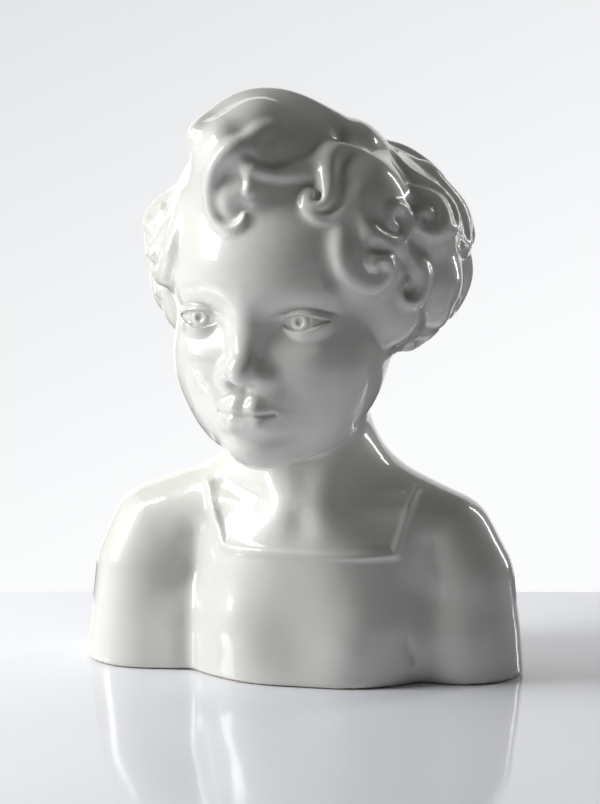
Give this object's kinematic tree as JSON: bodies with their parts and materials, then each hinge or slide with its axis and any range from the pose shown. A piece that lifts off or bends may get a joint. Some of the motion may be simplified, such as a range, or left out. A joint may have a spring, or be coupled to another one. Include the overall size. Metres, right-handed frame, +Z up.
{
  "type": "faience bust of a child",
  "caption": "White glazed faience bust of a small child with short curls and a square-necked dress, cut off flat below the chest to stand on a shelf.",
  "frame": {"origin": "middle of the bounding box, on the flat underside", "axes": "+Z up; the chest faces -Y, the child's left is +X, and the face is turned about 10 degrees towards -X"},
  "size_m": [0.2396, 0.1912, 0.3095],
  "materials": {
    "glaze": "thick glossy white tin glaze, faintly warm and very slightly uneven, thin over the crests of the locks; bare fired clay on the foot"
  },
  "bodies": {
    "root": {"bust": "glaze"}
  },
  "joints": []
}
